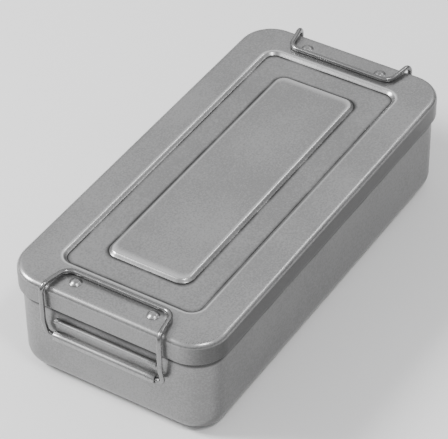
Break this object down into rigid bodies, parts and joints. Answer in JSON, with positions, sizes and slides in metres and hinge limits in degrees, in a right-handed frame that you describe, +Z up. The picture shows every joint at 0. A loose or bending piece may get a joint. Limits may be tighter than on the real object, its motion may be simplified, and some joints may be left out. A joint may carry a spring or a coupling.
{
  "type": "lidded box with lift-out trays",
  "caption": "Low rectangular steel box with a pressed lift-off lid, a spring-wire bail latch at each end and stacked divided trays that lift out.",
  "frame": {"origin": "centre of the box's footprint, on the surface it stands on", "axes": "+X along the box's length, +Y across it, +Z up"},
  "size_m": [0.2062, 0.098, 0.054],
  "materials": {
    "lid_steel": "satin stainless sheet, pressed, with faint drawing marks",
    "body_steel": "satin stainless sheet, deep drawn",
    "bracket_steel": "smooth bent stainless sheet",
    "spring_wire": "bright drawn stainless spring wire",
    "tray_steel": "satin stainless sheet",
    "rivet_steel": "domed rivet heads"
  },
  "bodies": {
    "box": {"body_shell": "body_steel", "left_latch_bracket": "bracket_steel", "right_latch_bracket": "bracket_steel", "left_tray_guides": "bracket_steel", "right_tray_guides": "bracket_steel"},
    "lid": {"lid_shell": "lid_steel"},
    "left_bail": {"left_bail": "spring_wire"},
    "right_bail": {"right_bail": "spring_wire"},
    "lower_tray": {"lower_tray_pan": "tray_steel", "lower_long_divider": "tray_steel", "lower_cross_dividers": "tray_steel"},
    "upper_tray": {"upper_tray_pan": "tray_steel", "upper_long_divider": "tray_steel", "upper_cross_dividers": "tray_steel", "left_handle_clips": "bracket_steel", "right_handle_clips": "bracket_steel", "left_clip_rivets": "rivet_steel", "right_clip_rivets": "rivet_steel"},
    "left_tray_handle": {"left_tray_handle": "spring_wire"},
    "right_tray_handle": {"right_tray_handle": "spring_wire"}
  },
  "joints": [
    {"name": "left_bail_swing", "type": "hinge", "parent": "box", "child": "left_bail", "pos_m": [-0.10018, 0, 0.0265], "axis": [0, -1, 0], "range_deg": [0, 155]},
    {"name": "right_bail_swing", "type": "hinge", "parent": "box", "child": "right_bail", "pos_m": [0.10018, 0, 0.0265], "axis": [0, 1, 0], "range_deg": [0, 155]},
    {"name": "lid_lift", "type": "slide", "parent": "box", "child": "lid", "axis": [0, 0, 1], "range_m": [0, 0.2]},
    {"name": "upper_tray_lift", "type": "slide", "parent": "box", "child": "upper_tray", "axis": [0, 0, 1], "range_m": [0, 0.132]},
    {"name": "lower_tray_lift", "type": "slide", "parent": "box", "child": "lower_tray", "axis": [0, 0, 1], "range_m": [0, 0.066]},
    {"name": "left_handle_fold", "type": "hinge", "parent": "upper_tray", "child": "left_tray_handle", "pos_m": [-0.08272, 0, 0.03648], "axis": [0, -1, 0], "range_deg": [0, 90]},
    {"name": "right_handle_fold", "type": "hinge", "parent": "upper_tray", "child": "right_tray_handle", "pos_m": [0.08272, 0, 0.03648], "axis": [0, 1, 0], "range_deg": [0, 90]}
  ],
  "couplings": [
    {"joint": "upper_tray_lift", "follows": "lid_lift", "ratio": 0.66},
    {"joint": "lower_tray_lift", "follows": "lid_lift", "ratio": 0.33}
  ]
}
